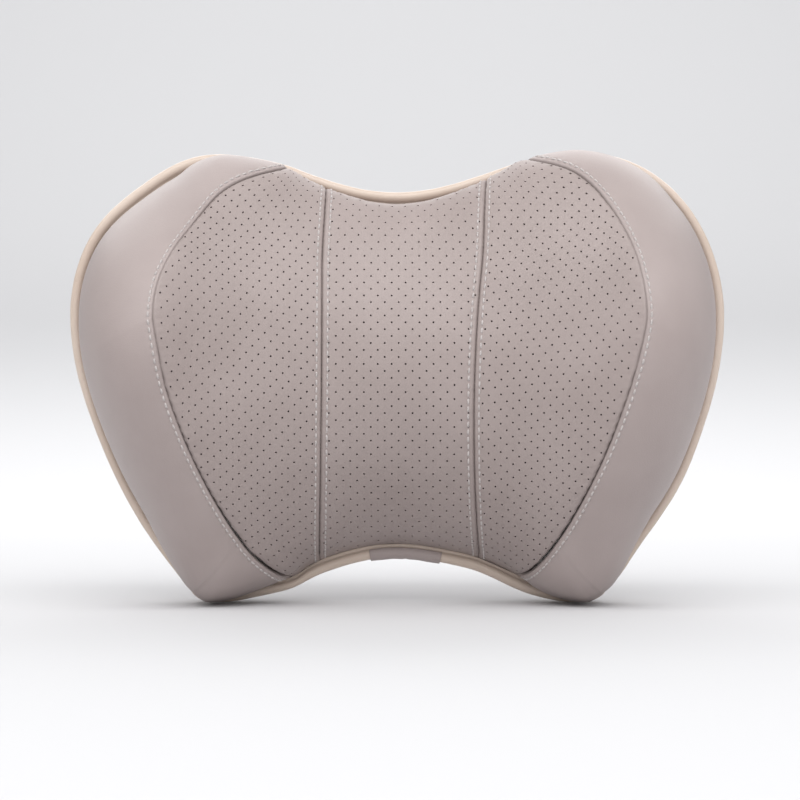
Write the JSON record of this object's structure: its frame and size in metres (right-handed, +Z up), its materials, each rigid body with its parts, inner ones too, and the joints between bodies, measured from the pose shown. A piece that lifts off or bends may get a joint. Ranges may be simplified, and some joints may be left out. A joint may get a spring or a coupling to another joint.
{
  "type": "neck pillow",
  "caption": "Butterfly-shaped headrest neck pillow: perforated leather front between plain wings, piped edge, zipped foam core, adjustable elastic strap behind",
  "frame": {"origin": "middle of the bounding box's base, under the bottom corners the cushion stands on", "axes": "+X to the right as seen from the front, -Y out of the front where the neck rests, +Z up"},
  "size_m": [0.2996, 0.1326, 0.2053],
  "materials": {
    "taupe_leather": "satin",
    "beige_piping": "satin",
    "pale_thread": "matte",
    "memory_foam": "matte",
    "liner_knit": "matte",
    "piping_cord": "matte",
    "zip_tape": "matte",
    "zip_coil": "satin",
    "zip_metal": "satin",
    "elastic_webbing": "matte",
    "strap_plastic": "matte"
  },
  "bodies": {
    "cushion": {"back_lower_panel": "taupe_leather", "back_upper_panel": "taupe_leather", "foam_core": "memory_foam", "foam_liner": "liner_knit", "front_centre_panel": "taupe_leather", "front_left_panel": "taupe_leather", "front_right_panel": "taupe_leather", "piping_cord": "piping_cord", "piping_cover": "beige_piping", "piping_joint_tab": "taupe_leather", "ring_tab": "elastic_webbing", "strap_anchor_left": "taupe_leather", "strap_anchor_right": "taupe_leather", "strap_return": "elastic_webbing", "strap_ring": "strap_plastic", "strap_webbing": "elastic_webbing", "topstitch_inner_left_inner": "pale_thread", "topstitch_inner_left_outer": "pale_thread", "topstitch_inner_right_inner": "pale_thread", "topstitch_inner_right_outer": "pale_thread", "topstitch_wing_left": "pale_thread", "topstitch_wing_right": "pale_thread", "wing_left_panel": "taupe_leather", "wing_right_panel": "taupe_leather", "zip_coil_lower": "zip_coil", "zip_coil_upper": "zip_coil", "zip_stop_left": "zip_metal", "zip_stop_right": "zip_metal", "zip_tape_lower": "zip_tape", "zip_tape_upper": "zip_tape"},
    "zip_slider": {"zip_slider": "zip_metal"},
    "zip_puller": {"zip_puller": "zip_metal"},
    "strap_adjuster": {"strap_adjuster": "strap_plastic"}
  },
  "joints": [
    {"name": "zip_slide", "type": "slide", "parent": "cushion", "child": "zip_slider", "axis": [-1, 0, 0], "range_m": [0, 0.178]},
    {"name": "zip_pull_hinge", "type": "hinge", "parent": "zip_slider", "child": "zip_puller", "pos_m": [0.089, 0.0457, 0.06162], "axis": [0, 0, -1], "range_deg": [0, 175]},
    {"name": "adjuster_slide", "type": "slide", "parent": "cushion", "child": "strap_adjuster", "axis": [-1, 0, 0], "range_m": [-0.02, 0.03], "deforming": ["strap_return"]}
  ]
}
